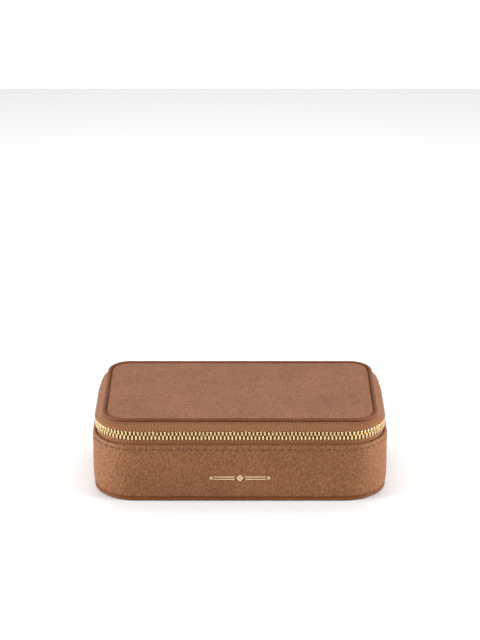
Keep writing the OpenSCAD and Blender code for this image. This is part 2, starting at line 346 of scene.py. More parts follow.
def outward_normals(grid, wrap_rows, wrap_columns):
    """Unit normals of a grid of points, turned away from the case's middle."""

    def slope(axis, wrap):
        wide = np.pad(grid, [(int(axis == i),) * 2 for i in range(3)], "wrap" if wrap else "edge")
        ends = np.arange(grid.shape[axis])
        return np.take(wide, ends + 2, axis) - np.take(wide, ends, axis)

    normals = np.cross(slope(1, wrap_columns), slope(0, wrap_rows))
    normals = normals / np.maximum(np.linalg.norm(normals, axis=-1, keepdims=True), 1e-9)
    middle = np.array([0, 0, WALL_TOP / 2])
    side = np.sign(np.sum(normals * (grid - middle), -1, keepdims=True))
    return normals * np.where(side == 0, 1, side)


def push(grid, normals, amount):
    return grid + normals * amount[..., None]


# ---- Materials ----

BLACK, WHITE = (0, 0, 0), (1, 1, 1)


class Nodes:
    """A material's node tree, with short ways to add and join nodes."""

    def __init__(self, name):
        self.material = bpy.data.materials.new(name)
        self.material.use_nodes = True
        self.tree = self.material.node_tree
        self.shader = self.tree.nodes["Principled BSDF"]

    def add(self, kind, **settings):
        node = self.tree.nodes.new(kind)
        for key, value in settings.items():
            setattr(node, key, value)
        return node

    def feed(self, socket, value):
        """Gives a socket a number, a colour or vector, or another node's output."""
        if isinstance(value, bpy.types.NodeSocket):
            self.tree.links.new(value, socket)
        else:
            socket.default_value = value

    def set(self, **values):
        """Sets sockets of the shader by name, with spaces written as underscores."""
        for key, value in values.items():
            self.feed(self.shader.inputs[key.replace("_", " ")], value)

    def output(self, kind, output, settings=None, **inputs):
        """A new node's output, once its inputs are given by name."""
        node = self.add(kind, **(settings or {}))
        for key, value in inputs.items():
            self.feed(node.inputs[key.replace("_", " ")], value)
        return node.outputs[output]

    def place(self):
        return self.output("ShaderNodeTexCoord", "Object")

    def stretched(self, scale):
        return self.output("ShaderNodeMapping", "Vector", Scale=scale, Vector=self.place())

    def noise(self, scale, detail=3.0, vector=None):
        vector = vector or self.place()
        return self.output("ShaderNodeTexNoise", "Fac", Scale=scale, Detail=detail, Vector=vector)

    def cell_edges(self, scale):
        edges = {"feature": "DISTANCE_TO_EDGE"}
        place = self.place()
        return self.output("ShaderNodeTexVoronoi", "Distance", edges, Scale=scale, Vector=place)

    def attribute(self, name):
        return self.output("ShaderNodeAttribute", "Fac", {"attribute_name": name})

    def math(self, operation, first, second):
        node = self.add("ShaderNodeMath", operation=operation)
        self.feed(node.inputs[0], first)
        self.feed(node.inputs[1], second)
        return node.outputs[0]

    def sum(self, first, share, second):
        """A share of one output plus the rest of another."""
        rest = self.math("MULTIPLY", second, 1 - share)
        return self.math("ADD", self.math("MULTIPLY", first, share), rest)

    def ramp(self, factor, *stops):
        """A colour ramp from (position, colour) pairs."""
        node = self.add("ShaderNodeValToRGB")
        while len(node.color_ramp.elements) < len(stops):
            node.color_ramp.elements.new(0.5)
        for element, (position, colour) in zip(node.color_ramp.elements, stops):
            element.position = position
            element.color = (*colour, 1)
        self.feed(node.inputs["Fac"], factor)
        return node.outputs["Color"]

    def mix(self, factor, first, second):
        """One colour output mixed with one plain colour."""
        node = self.add("ShaderNodeMix", data_type="RGBA")
        for index, value in ((0, factor), (6, first), (7, (*second, 1))):
            self.feed(node.inputs[index], value)
        return node.outputs[2]

    def roughness(self, factor, low, high):
        ends = {"To_Min": low, "To_Max": high}
        self.set(Roughness=self.output("ShaderNodeMapRange", "Result", Value=factor, **ends))

    def bump(self, height, distance, strength=1.0, **normal):
        """Bump on the shader, over an earlier bump's Normal if given; distance in metres."""
        inputs = {"Strength": strength, "Distance": distance, "Height": height, **normal}
        bumped = self.output("ShaderNodeBump", "Normal", **inputs)
        self.set(Normal=bumped)
        return bumped


TAN = (0.232, 0.086, 0.029)
TAN_LIGHT = (0.288, 0.112, 0.040)
TAN_DEEP = (0.125, 0.037, 0.010)
# Near-black brown, painted into the stitch holes as shade.
STITCH_HOLE_SHADE = (0.050, 0.012, 0.003)


def scaled_colour(colour, factor):
    """A colour times a number, or times one number per channel."""
    return tuple(np.multiply(colour, factor).tolist())


def leather_material(name, depth=1.0, shade=1.0, gloss=0.34):
    """Pebbled leather: painted shade in the creases, keyed to the mesh's grain, and painted shade
    in the stitch holes, with fine pores and slow changes of tone.
    """
    nodes = Nodes(name)
    grain = nodes.attribute("grain")
    dark, light = scaled_colour(TAN, 0.93 * shade), scaled_colour(TAN_LIGHT, 0.92 * shade)
    body = nodes.ramp(nodes.noise(45.0, 2.0), (0.30, dark), (0.72, light))
    # Painted shade: where the grain is low, in the creases between pebbles, the colour is mixed
    # towards a deep tan.
    crease_shade = nodes.math("MULTIPLY", nodes.ramp(grain, (0.0, WHITE), (0.55, BLACK)), 0.74 * depth)
    mixed = nodes.mix(crease_shade, body, scaled_colour(TAN_DEEP, shade))
    # Painted shade: the stitch holes (the pit attribute) are mixed towards near-black.
    nodes.set(Base_Color=nodes.mix(nodes.attribute("pit"), mixed, STITCH_HOLE_SHADE))
    nodes.roughness(grain, 0.62, 0.46)
    lines = nodes.ramp(nodes.cell_edges(1050.0), (0.0, BLACK), (0.16, WHITE))
    lined = nodes.bump(lines, 0.00005, 0.45 * depth)
    nodes.bump(nodes.noise(1700.0, 4.0), 0.00006, 0.6, Normal=lined)
    nodes.set(Specular_IOR_Level=gloss, Sheen_Weight=0.03, Sheen_Roughness=0.5)
    return nodes.material


def weave_material(name):
    """Woven tape, whose relief follows the threads; its colour is painted shade where the threads
    sink and painted light where they stand, with noise for tone.
    """
    nodes = Nodes(name)
    height = nodes.sum(nodes.attribute("thread"), 0.65, nodes.noise(2600.0, 2.0))
    # Painted shade in the threads' hollows and painted light on their tops; the noise adds tone.
    sunk_shade, middle = scaled_colour(TAN, 0.50), scaled_colour(TAN, 0.80)
    top = scaled_colour(TAN_LIGHT, 1.12)
    nodes.set(Base_Color=nodes.ramp(height, (0.20, sunk_shade), (0.48, middle), (0.80, top)))
    nodes.bump(height, 0.0002)
    nodes.set(Roughness=0.78, Specular_IOR_Level=0.3, Sheen_Weight=0.18, Sheen_Roughness=0.45)
    return nodes.material


def speckled_material(name, noise, low, high, stretch=None, rough=None, bump=None, **values):
    """A material whose colour and roughness follow noise, and whose bump follows it or its own."""
    nodes = Nodes(name)
    speck = nodes.noise(*noise, nodes.stretched(stretch) if stretch else None)
    nodes.set(Base_Color=nodes.ramp(speck, low, high), **values)
    if rough:
        nodes.roughness(speck, *rough)
    if bump:
        distance, strength, *own = bump
        nodes.bump(nodes.noise(*own) if own else speck, distance, strength)
    return nodes.material


def brass_material(name, roughness, shade):
    dull = scaled_colour((0.68, 0.50, 0.26), shade)
    clean = scaled_colour((0.80, 0.63, 0.37), shade)
    return speckled_material(
        name, (900.0, 3.0), (0.30, dull), (0.70, clean),
        rough=(roughness - 0.06, roughness + 0.10), bump=(0.00001, 0.25, 3000.0, 2.0), Metallic=1.0,
    )


def suede_material(name, colour):
    """Suede: a soft nap that changes tone in slow strokes."""
    nodes = Nodes(name)
    strokes = nodes.noise(60.0, vector=nodes.stretched((1.0, 0.35, 1.0)))
    nap = nodes.noise(4200.0)
    low, high = scaled_colour(colour, 0.78), scaled_colour(colour, 1.12)
    tone = nodes.sum(strokes, 0.7, nap)
    nodes.set(Base_Color=nodes.ramp(tone, (0.30, low), (0.68, high)))
    nodes.bump(nap, 0.00012, 0.7)
    nodes.set(Roughness=0.95, Specular_IOR_Level=0.12, Sheen_Weight=0.7, Sheen_Roughness=0.35)
    return nodes.material


WALL_LEATHER = leather_material("leather_wall", shade=np.array((0.96, 0.99, 0.95)))
TOP_LEATHER = leather_material("leather_top", 0.8, 0.96)
EDGE_LEATHER = leather_material("leather_edges", 0.5, 0.92)
# The piping is the same leather, painted darker and redder as shade.
SHADED_PIPING_LEATHER = leather_material("leather_piping_painted_shade", 0.5, np.array((0.66, 0.52, 0.40)), 0.22)
WEAVE = weave_material("zip_tape")
BRASS = brass_material("brass", 0.24, 1.0)
POLISHED = brass_material("brass_polished", 0.2, 0.78)
FOIL = speckled_material(
    "gold_foil", (2400.0, 3.0), (0.30, (0.66, 0.46, 0.22)), (0.55, (0.95, 0.78, 0.48)),
    rough=(0.32, 0.52), bump=(0.00004, 0.5, 1400.0, 3.0), Metallic=0.45,
)
SUEDE = suede_material("suede", (0.44, 0.27, 0.17))
SUEDE_ROLL = suede_material("suede_roll", (0.48, 0.30, 0.19))
THREAD = speckled_material(
    "thread", (2600.0, 2.0), (0.30, scaled_colour(TAN_DEEP, 1.1)), (0.70, scaled_colour(TAN, 1.1)),
    (1.0, 1.0, 2.4), bump=(0.00008, 0.8), Roughness=0.7, Sheen_Weight=0.2,
)
BOARD = speckled_material(
    "board", (500.0, 5.0), (0.30, (0.30, 0.24, 0.17)), (0.70, (0.42, 0.35, 0.26)),
    (1.0, 0.4, 1.0), bump=(0.0001, 0.4), Roughness=0.9, Specular_IOR_Level=0.2,
)
MIRROR = speckled_material(
    "mirror", (30.0, 3.0), (0.3, (0.90, 0.91, 0.92)), (0.7, (0.95, 0.96, 0.96)),
    rough=(0.01, 0.04), Metallic=1.0,
)
FLOOR = speckled_material(
    "floor", (8.0, 2.0), (0.0, (0.82, 0.825, 0.83)), (1.0, (0.83, 0.835, 0.84)),
    Roughness=0.9, Specular_IOR_Level=0.1,
)


# ---- The base's outside ----

STITCH_PITCH = 3.9
STITCH_BELOW_TOP = 3.0
STITCH_INSET = 0.12
STITCH_COUNT = round(2 * HALF_PATH / STITCH_PITCH)
STITCH_SPACING = 2 * HALF_PATH / STITCH_COUNT
WALL_T = 2.0
BULGE = 0.30
SWELL = 0.40


def wall_bulge(height):
    """How far the soft wall swells past its board, most of all low down."""
    share = np.clip((height - WALL_BOTTOM) / (WALL_TOP - WALL_BOTTOM), 0, 1)
    swell = SWELL * np.clip(share / 0.14, 0, 1) ** 0.6 * np.clip((1 - share) / 0.05, 0, 1) ** 0.6
    return swell + BULGE * np.sin(np.pi * share**0.55) ** 2


def build_wall():
    """The leather wall: swollen and pebbled outside, turned over at the top."""
    foot = [(1.5, -0.7), (0.6, 0.1), (0.1, 1.2), (0, 4)]
    turn = [(0, -2.4), (0, -0.7), (0.35, 0.1), (1.2, 0.15), (1.9, -0.3), (WALL_T + 0.05, -1.4)]
    outside = [(inset, WALL_BOTTOM + rise) for inset, rise in foot]
    outside += [(inset, WALL_TOP + rise) for inset, rise in turn]
    outside = resampled(rounded(outside), 0.42)
    inside = [(WALL_T + 0.05, WALL_TOP - 8), (WALL_T, WALL_TOP / 2), (WALL_T, WALL_BOTTOM)]
    profile = joined(outside, inside)
    path = closed_path(0.45)
    grid = loft(path, profile)
    normals = outward_normals(grid, True, True)
    skin = np.zeros((len(profile), 1))
    skin[: len(outside), 0] = np.clip((1.6 - outside[:, 0]) / 1.2, 0, 1)
    flattened = grid * np.array([1, 1, 0.66])
    grain, fine = pebbles(flattened, 1.75, 3), pebbles(flattened, 0.95, 5)
    slow = soft_noise(grid, 17.0, 7) + 0.5 * soft_noise(grid, 8.0, 8)
    bulge = wall_bulge(profile[:, 1])[:, None]
    height = 0.34 * (grain - 1) + 0.08 * (fine - 1) + 0.10 * slow + bulge
    pit, channel = stitch_holes(path, profile[:, 1])
    grid = push(grid, normals, (height - 0.34 * pit - 0.10 * channel) * skin)
    # pit also carries the stitch holes' painted shade to the material.
    grain, pit = 0.75 * grain + 0.25 * fine, np.clip(0.95 * pit * skin, 0, 1)
    wall = make_piece("wall", grid, torus_faces, WALL_LEATHER, grain=grain, pit=pit)
    settle(wall, "base", "leather", "wall_leather")


def stitch_holes(path, heights):
    """How deep the leather lies, from 0 to 1, in the stitches' holes and along their row."""
    along = (path + HALF_PATH) % STITCH_SPACING
    hole = np.minimum(along, STITCH_SPACING - along)[None, :]
    above = np.abs(heights - (WALL_TOP - STITCH_BELOW_TOP))[:, None]
    return np.exp(-((hole / 0.55) ** 2) - (above / 0.42) ** 2), np.exp(-((above / 0.7) ** 2))


def capsule(length, thickness, flat):
    """Points and faces of a small rounded bar along X."""
    rings, sides = 7, 8
    points = []
    for turn in np.linspace(0, math.pi, rings):
        ring_r = max(math.sin(turn), 0.0) ** 0.5
        for angle in np.linspace(0, 2 * math.pi, sides, endpoint=False):
            y, z = ring_r * thickness * math.cos(angle), ring_r * flat * math.sin(angle)
            points.append((-math.cos(turn) * length / 2, y, z))
    return np.array(points), band_faces(rings, sides)


def scattered(name, shape, places, material):
    """Many copies of one shape as one piece; a place is an origin and its x, y and z axes."""
    points, faces = shape
    every_point, every_face = [], []
    for count, (origin, *axes) in enumerate(places):
        every_point.append(origin + points @ np.array(axes))
        every_face += [[index + count * len(points) for index in face] for face in faces]
    return make_piece(name, np.vstack(every_point), every_face, material, 1e-7)


def path_frames(path, inset, corner, height):
    """Origin, forward, outward and up at distances along a loop."""
    origin = on_loop(path, inset, corner, height)
    angle = stations(np.asarray(path, float))[2]
    outwards = np.stack([np.cos(angle), np.sin(angle), np.zeros_like(angle)], -1)
    forward = np.stack([-np.sin(angle), np.cos(angle), np.zeros_like(angle)], -1)
    up = np.tile([0.0, 0.0, 1.0], (len(angle), 1))
    return list(zip(origin, forward, outwards, up))


def build_stitches():
    """One thread stitch between each two holes, half sunk in the leather."""
    path = -HALF_PATH + (np.arange(STITCH_COUNT) + 0.5) * 2 * HALF_PATH / STITCH_COUNT
    height = WALL_TOP - STITCH_BELOW_TOP
    inset = STITCH_INSET - float(wall_bulge(height))
    places = path_frames(path, inset, CORNER - STITCH_INSET, height)
    stitches = scattered("stitches", capsule(STITCH_SPACING - 1.0, 0.16, 0.22), places, THREAD)
    settle(stitches, "base", "leather")


def build_piping(name, node, body, corner, step, wrinkle, seed):
    """A round cord along a closed loop, with a slightly uneven skin."""
    radius, height, inset = piping_line(node)
    path = closed_path(step)
    rows = []
    for angle in np.linspace(0, 2 * np.pi, 16, endpoint=False):
        offset, rise = radius * math.cos(angle), radius * math.sin(angle)
        rows.append(on_loop(path, inset - offset, corner + offset, height + rise))
    grid = np.stack(rows)
    normals = (grid - on_loop(path, inset, corner, height)[None]) / radius
    grain = pebbles(grid, 1.5, seed)
    grid = push(grid, normals, wrinkle * (0.6 * (grain - 1) + soft_noise(grid, 5.0, seed)))
    piping = make_piece(name, grid, torus_faces, SHADED_PIPING_LEATHER, grain=grain)
    settle(piping, body, "leather", node)


def build_pipings():
    base_corner = CORNER - piping_line("base_piping")[2]
    build_piping("underside_piping", "base_piping", "base", base_corner, 0.9, 0.04, 21)
    build_piping("lid_piping", "top_piping", "lid", LID_CORNER, 0.7, 0.05, 23)


def build_lathed(name, profile, material, body, slot, nodes, step, roughen, corner=wall_corner):
    """A closed form whose profile starts and ends on the middle line of the case."""
    grid = loft(closed_path(step), profile, corner)
    grid = push(grid, outward_normals(grid, False, True), roughen(grid, profile))
    settle(make_piece(name, grid, band_faces, material, 2e-6), body, slot, *nodes)


def from_middle(inset, height, count):
    """Profile points from the case's middle line out to an inset, all at one height."""
    return [(place, height) for place in np.linspace(HALF_Y, inset, count)]


def to_middle(inset, height, count):
    return from_middle(inset, height, count)[::-1]


def build_underside():
    """The leather underside, flat where it stands and softly rounded at its edge."""
    low, high = box_mm("base_panel")
    edge = HALF_X - high[0]
    turn = [(edge + 0.35, low[2] + 0.12), (edge, low[2] + 0.5), (edge, high[2])]
    under, over = from_middle(edge + 1.2, low[2], 46), to_middle(edge + 2, high[2], 4)

    def roughen(grid, profile):
        inner = (profile[:, 0] > edge + 1.5) & (profile[:, 1] < 0.01)
        return 0.10 * (pebbles(grid, 1.8, 31) - 1) * inner[:, None]

    profile, nodes = joined(under, turn, over), ["base_panel"]
    build_lathed("underside", profile, TOP_LEATHER, "base", "leather", nodes, 1.0, roughen)


# ---- The lid's outside ----


def build_top_panel():
    """The lid's leather: drawn down at the piping, then a low, soft crown."""
    low, high = box_mm("top_panel")
    edge = HALF_X - high[0]
    hem, crown_z, step = low[2] - 0.6, high[2] + 0.12, 0.55
    rise = [(0.6, -0.55), (1.9, -0.12), (6, 0.08), (16, 0.12)]
    crown = [(edge, hem), (edge + 0.15, low[2] - 0.35)]
    crown += [(edge + inset, high[2] + height) for inset, height in rise]
    crown = resampled(rounded(crown), 0.5)
    under = from_middle(edge + 1, hem, 4)
    rest = [(inset, crown_z) for inset in np.arange(crown[-1][0] + step, HALF_Y, step)]
    profile = joined(under, crown, rest, [(HALF_Y, crown_z)])
    grid = loft(closed_path(step), profile, lid_corner)
    skin = np.clip((profile[:, 0] - edge) / 1.5, 0, 1)[:, None]
    skin[: len(under)] = 0
    grain = pebbles(grid, 1.9, 11)
    slow = soft_noise(grid, 26.0, 13) + 0.5 * soft_noise(grid, 11.0, 14)
    grid[..., 2] += (0.13 * (grain - 1) + 0.045 * slow) * skin
    panel = make_piece("lid_top", grid, band_faces, TOP_LEATHER, 2e-6, grain=grain)
    settle(panel, "lid", "leather", "top_panel", "top_padding")


# ---- The zip ----

BEAD = 1.1
THREAD_RELIEF = 0.13
RIB_WIDTH = 1.7
WEAVE_PITCH = 1.9
LID_TAPE_T = 0.6
TENT_T = 0.3
TAPE_STEP = 0.36
BULGE_INSET = 0.85
SLIDER_LIP = 3.7
TAPE_FOLD = ZIP_Z + SLIDER_LIP + 0.15
GUSSET_END = 4.0


def tape_outline(start):
    """Up the lid's tape: upright at the teeth, a bulge over them, then in to the seam."""
    lean = [
        (TAPE_INSET, start), (TAPE_INSET, ZIP_Z + 2.5), (BULGE_INSET, ZIP_Z + 2.9),
        (BULGE_INSET, ZIP_Z + 3.6), (BULGE_INSET + 1.0, ZIP_Z + 4.8),
        (SEAM_INSET - 1.3, PIPING_Z - 2.0), (SEAM_INSET + 0.35, PIPING_Z - 0.95),
    ]
    return resampled(rounded(lean), 0.15)


def tuck(path, height):
    """How much less the tape bulges towards the back, where it nears the hinge."""
    back = np.interp(np.abs(path), [PATH_STOPS[3] - 12, PATH_STOPS[3] + 1], [0, 1.12])
    heights = [ZIP_Z + 2.3, ZIP_Z + 2.9, ZIP_Z + 3.8, PIPING_Z - 2.0]
    return back * np.interp(height, heights, [0, 1, 1, 0])


def tape_points(path, inset, height):
    """Points of a tape, whose corners change from the wall's to the lid's over the slider."""
    inset = inset + tuck(path, height)
    start = ZIP_Z + SLIDER_LIP
    share = np.clip((height - start) / (PIPING_Z - 0.9 - start), 0, 1)
    radius = (1 - share) * wall_corner(inset) + share * lid_corner(inset)
    return on_loop(np.broadcast_to(path, inset.shape), inset, radius, height)


def weave(along, across):
    """How high the threads stand, from 0 to 1: slanted stitches in ribs along the tape."""
    rib = RIB_WIDTH * np.abs((across / RIB_WIDTH) % 2 - 1)
    slanted = 0.5 + 0.5 * np.sin(2 * np.pi * (along + rib) / WEAVE_PITCH)
    return 0.75 * slanted + 0.25 * (0.5 - 0.5 * np.cos(2 * np.pi * across / RIB_WIDTH))


def tape_piece(name, path, outline, rows, start=0.0, thick=TAPE_T):
    """A tape up an outline, from a length along it; thick may differ from place to place."""
    lengths = lengths_along(outline)
    curves = np.hstack([outline, inward_normals(outline)])
    share = np.linspace(0, 1, rows)[:, None]
    along_outline = np.tile(start * (1 - share) + lengths[-1] * share, len(path))
    inset, height, way_in, way_up = (np.interp(along_outline, lengths, c) for c in curves.T)

    def layer(depth):
        return tape_points(path, inset + depth * way_in, height + depth * way_up)

    along = np.broadcast_to(path, along_outline.shape)
    thread = weave(along, lengths[-1] - along_outline)
    outer = TAPE_T / 2 - thick / 2 - THREAD_RELIEF * (thread - 0.5)
    grid = np.concatenate([layer(outer), layer(TAPE_T / 2 + thick / 2)[::-1]])
    thread = np.concatenate([thread, thread[::-1]])
    return make_piece(name, grid, sweep_faces, WEAVE, thread=thread)


def build_tapes():
    full = tape_outline(ZIP_Z + BEAD)
    path = open_path(1, -LID_TAPE_END, LID_TAPE_END, TAPE_STEP)
    lid_tape = tape_piece("tape_lid", path, full, 26, thick=LID_TAPE_T)
    settle(lid_tape, "lid", "zip_tape", "tape_upper")

    lower = resampled([(TAPE_INSET, WALL_TOP - 6.0), (TAPE_INSET, ZIP_Z - BEAD)], 0.5)
    path = open_path(1, -PATH_END, PATH_END, TAPE_STEP)
    settle(tape_piece("tape_base", path, lower, 28), "base", "zip_tape", "tape_lower")

    strip = full[full[:, 1] <= TAPE_FOLD]
    for side, word in ((1, "right"), (-1, "left")):
        path = open_path(side, BACK_TAPE_START, PATH_END, TAPE_STEP)
        back = tape_piece(f"tape_back_{word}_strip", path, strip, 14)
        settle(back, "base", "zip_tape", f"tape_back_{word}")
        build_slack(side, word)


def build_slack(side, word):
    """The slack tape from the zipped end up to the lid, and a tent that closes its end."""
    outline = tape_outline(ZIP_Z)
    fold_z = TAPE_FOLD - 0.1
    fold = float(np.interp(fold_z, outline[:, 1], lengths_along(outline)))

    path = open_path(side, LID_TAPE_END - 0.8, PATH_END, TAPE_STEP)
    thick = LID_TAPE_T - 0.35 * np.clip((LID_TAPE_END - np.abs(path)) / 0.3, 0, 1)
    gusset = tape_piece(f"tape_gusset_{word}", path, outline, 26, fold, thick)
    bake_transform(gusset)

    path = open_path(side, PATH_END - 0.15, PATH_END + GUSSET_END, 0.25)
    tent = tape_piece(f"tape_tent_{word}", path, outline, 40, thick=TENT_T)
    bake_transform(tent)


def tooth_shape():
    """One zip tooth along Z: a broad leg and a narrower, rounded head."""
    leg, neck, head = TOOTH_REACH, 0.12, -TOOTH_HEAD
    flat_leg = leg - 0.3
    # Each layer: how far out, half width, then the heights of the leg's end and of the head's
    layers = [
        (-1.22, 0.42, flat_leg - 0.15, neck + 0.25), (-1.05, 0.55, flat_leg, neck),
        (-0.8, 0.58, leg, neck - 0.05), (-0.48, 0.40, leg, head), (-0.34, 0.57, leg, head),
        (0.34, 0.57, leg, head), (0.48, 0.40, leg, head), (0.8, 0.58, leg, neck - 0.05),
        (1.08, 0.55, flat_leg, neck), (1.25, 0.42, flat_leg - 0.15, neck + 0.25),
    ]
    points = []
    for out, half, high, low in layers:
        ring = [(0.94 * half, high), (half, high - 0.25), (half, 1.0)]
        ring += [(0.80 * half, low + 0.3), (0.55 * half, low)]
        ring += [(-x, z) for x, z in ring[::-1]]
        points += [(x, out, z) for x, z in ring]
    return np.array(points), lathe_faces(len(layers), len(ring))


def teeth_rows(name, ups, start, end, body, node):
    """Teeth along part of the zip; ups holds -1 for the base's row and 1 for the lid's."""
    places = []
    for up in ups:
        shift = 0 if up < 0 else TOOTH_PITCH / 2
        first = math.ceil((start - shift) / TOOTH_PITCH - 1e-9)
        last = math.floor((end - shift) / TOOTH_PITCH + 1e-9)
        path = [count * TOOTH_PITCH + shift for count in range(first, last + 1)]
        for origin, forward, out, over in path_frames(path, ZIP_INSET, ZIP_RADIUS, ZIP_Z):
            places.append((origin, forward * up, out, over * up))
    settle(scattered(name, tooth_shape(), places, BRASS), body, "brass", node)


def build_teeth():
    end, start, stop = LID_ROW_END, BACK_ROW_START, BACK_ROW_END
    teeth_rows("zip_teeth_base", (-1,), -end, end, "base", "teeth_lower")
    teeth_rows("zip_teeth_lid", (1,), -end, end, "lid", "teeth_upper")
    teeth_rows("zip_teeth_back_left", (-1, 1), -stop, -start, "base", "teeth_back_left")
    teeth_rows("zip_teeth_back_right", (-1, 1), start, stop, "base", "teeth_back_right")


def build_hinge():
    """One strip of leather from the wall to the lid's piping, over the hinge."""
    web = tape_outline(ZIP_Z)[::2]
    web[:, 0] += tuck(PATH_END, web[:, 1])
    foot = resampled([(TAPE_INSET, WALL_TOP - 5.0), (TAPE_INSET, ZIP_Z - 0.3)], 0.35)
    outside = joined(foot, web)
    profile = np.vstack([outside, (outside + TAPE_T * inward_normals(outside))[::-1]])
    across = np.linspace(-HINGE_HALF, HINGE_HALF, 180)
    grid = np.zeros((len(profile), len(across), 3))
    grid[..., 0] = across
    grid[..., 1] = HALF_Y - profile[:, :1]
    grid[..., 2] = profile[:, 1:]
    grain = pebbles(grid, 1.5, 41)
    grid = push(grid, outward_normals(grid, True, False), 0.05 * (grain - 1))
    strip = make_piece("hinge_strip", grid, sweep_faces, EDGE_LEATHER, grain=grain)
    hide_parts("hinge_leaf_lower", "hinge_leaf_upper")
    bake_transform(strip)


# ---- The slider and its pull ----

SLIDER_HALF_ANGLE = 11.5
bail_middle = sum(box_mm("slider_bail")) / 2
SLIDER_ANGLE = math.atan2(bail_middle[1] - STRAIGHT_Y, bail_middle[0] - STRAIGHT_X)

PULL_OUT = 3.6
EYE_R, EYE_BORE, EYE_HALF = 1.2, 0.75, 2.1
BLADE_HALF, BLADE_HALF_T, BLADE_RIM, BLADE_SUNK = 3.0, 0.5, 0.85, 0.34


def slider_point(turn, out, height):
    """A point at degrees along the zip from the slider, out from the zip and over it."""
    angle = SLIDER_ANGLE + math.radians(turn)
    reach = ZIP_RADIUS + out
    x, y = STRAIGHT_X + reach * math.cos(angle), STRAIGHT_Y + reach * math.sin(angle)
    return x, y, ZIP_Z + height


def build_slider_cover():
    """The slider's outer plate: a low pillow with rounded corners and two lips turned in."""
    near, far, lip, slot_half = 1.5, 2.3, 3.2, 0.65
    top = SLIDER_LIP
    half = [
        (near, 0), (near, lip), (slot_half, lip), (slot_half, top - 0.12), (slot_half + 0.15, top),
        (far - 0.55, top), (far - 0.2, top - 0.15), (far - 0.06, top - 0.5), (far, top - 1.3),
    ]
    section = half + [(far, 0)] + [(out, -height) for out, height in half[:0:-1]]
    turns = np.sin(np.linspace(-np.pi / 2, np.pi / 2, 41)) * SLIDER_HALF_ANGLE
    edge = np.clip((np.abs(turns) / SLIDER_HALF_ANGLE - 0.80) / 0.20, 0, 1)
    drops = 1 - np.sqrt(np.maximum(1 - edge**2, 0))
    rows = []
    for out, height in section:
        pillow = 0.45 * np.clip((out - near) / (far - near), 0, 1)
        lowered = 0.40 * np.sign(height) * (abs(height) > lip)
        rows.append([
            slider_point(turn, out - pillow * drop, height - lowered * drop)
            for turn, drop in zip(turns, drops)
        ])
    faces = grid_faces(len(section), len(turns), True, False)
    ends = tessellate_polygon([[Vector((out, height, 0)) for out, height in section]])
    for end in ends:
        faces += [[corner * len(turns) + last for corner in end] for last in (0, len(turns) - 1)]
    cover = make_piece("slider_cover", rows, faces, POLISHED)
    settle(cover, "slider", "brass", "slider_outer_plate")


def blade_ring(down, bottom):
    """The outline of the pull's blade, a distance down from its pivot."""
    widened = EYE_HALF + (BLADE_HALF - EYE_HALF) * np.clip((down - 1.4) / 3.6, 0, 1) ** 2
    tip = max((down - bottom + BLADE_HALF) / BLADE_HALF, 0)
    wide = widened * math.sqrt(max(1 - tip**2, 0.0004))
    rim, edge = min(BLADE_RIM, wide * 0.6), min(0.18, wide * 0.3)
    inner = np.clip((down - 2.6) / 0.8, 0, 1) * np.clip((bottom - 0.9 - down) / 0.8, 0, 1)
    floor = BLADE_HALF_T - BLADE_SUNK * inner
    quarter = [(wide, 0.12), (wide, BLADE_HALF_T - edge), (wide - edge, BLADE_HALF_T)]
    quarter += [(wide - rim, BLADE_HALF_T), (wide - rim - edge / 2, floor), (wide * 0.3, floor)]
    front = quarter + [(-y, x) for y, x in quarter[::-1]]
    return [(x, y, -down) for y, x in front + [(y, -x) for y, x in front[::-1]]]


def build_pull():
    """The pull: a rolled eye, a widening neck, and a blade with a rim round a sunk middle."""
    low, high = box_mm("zip_pull")
    bottom = high[2] - EYE_R - low[2]
    tips = bottom - BLADE_HALF * (1 - np.sin(np.linspace(0, np.pi / 2, 15)))
    downs = np.concatenate([np.linspace(0.95, bottom - BLADE_HALF, 44), tips])
    blade = np.array([blade_ring(down, bottom) for down in downs])
    faces = lathe_faces(*blade.shape[:2])

    eye = [(EYE_BORE, -EYE_HALF), (EYE_R - 0.15, -EYE_HALF), (EYE_R, -EYE_HALF + 0.15)]
    eye += [(radius, -y) for radius, y in eye[::-1]]
    turns = np.linspace(0, 2 * np.pi, 32, endpoint=False)
    rings = [[(r * math.cos(turn), y, r * math.sin(turn)) for turn in turns] for r, y in eye]
    points = np.vstack([blade.reshape(-1, 3), np.array(rings).reshape(-1, 3)])
    start = blade.shape[0] * blade.shape[1]
    faces += [[index + start for index in face] for face in torus_faces(len(eye), len(turns))]

    out = np.array([math.cos(SLIDER_ANGLE), math.sin(SLIDER_ANGLE), 0])
    forward = np.array([-out[1], out[0], 0])
    placed = slider_point(0, PULL_OUT, 0) + points[:, :1] * out + points[:, 1:2] * forward
    placed[:, 2] += points[:, 2]
    settle(make_piece("pull_tab", placed, faces, POLISHED), "pull", "brass", "zip_pull")


# ---- The gold mark on the front ----

MARK_Z, MARK_HALF_LENGTH, LOZENGE = 16.0, 18.5, 2.1
STROKE, LINE_GAP = 0.42, 1.5
FOIL_PROUD, FOIL_SUNK = 0.06, -0.4


def foil_strip(outline):
    """A thin slab of foil on the wall, as points: its shown side, then its sunk side."""
    return [
        (x, -HALF_Y - float(wall_bulge(MARK_Z + z)) - proud, MARK_Z + z)
        for proud in (FOIL_PROUD, FOIL_SUNK)
        for x, z in outline
    ]


def lozenge(centre, half, thick):
    """The four strokes of a lozenge."""
    outer, inner = (
        [(centre + reach, 0), (centre, reach), (centre - reach, 0), (centre, -reach)]
        for reach in (half, half - thick * 1.5)
    )
    for index in range(4):
        after = (index + 1) % 4
        yield [outer[index], outer[after], inner[after], inner[index]]


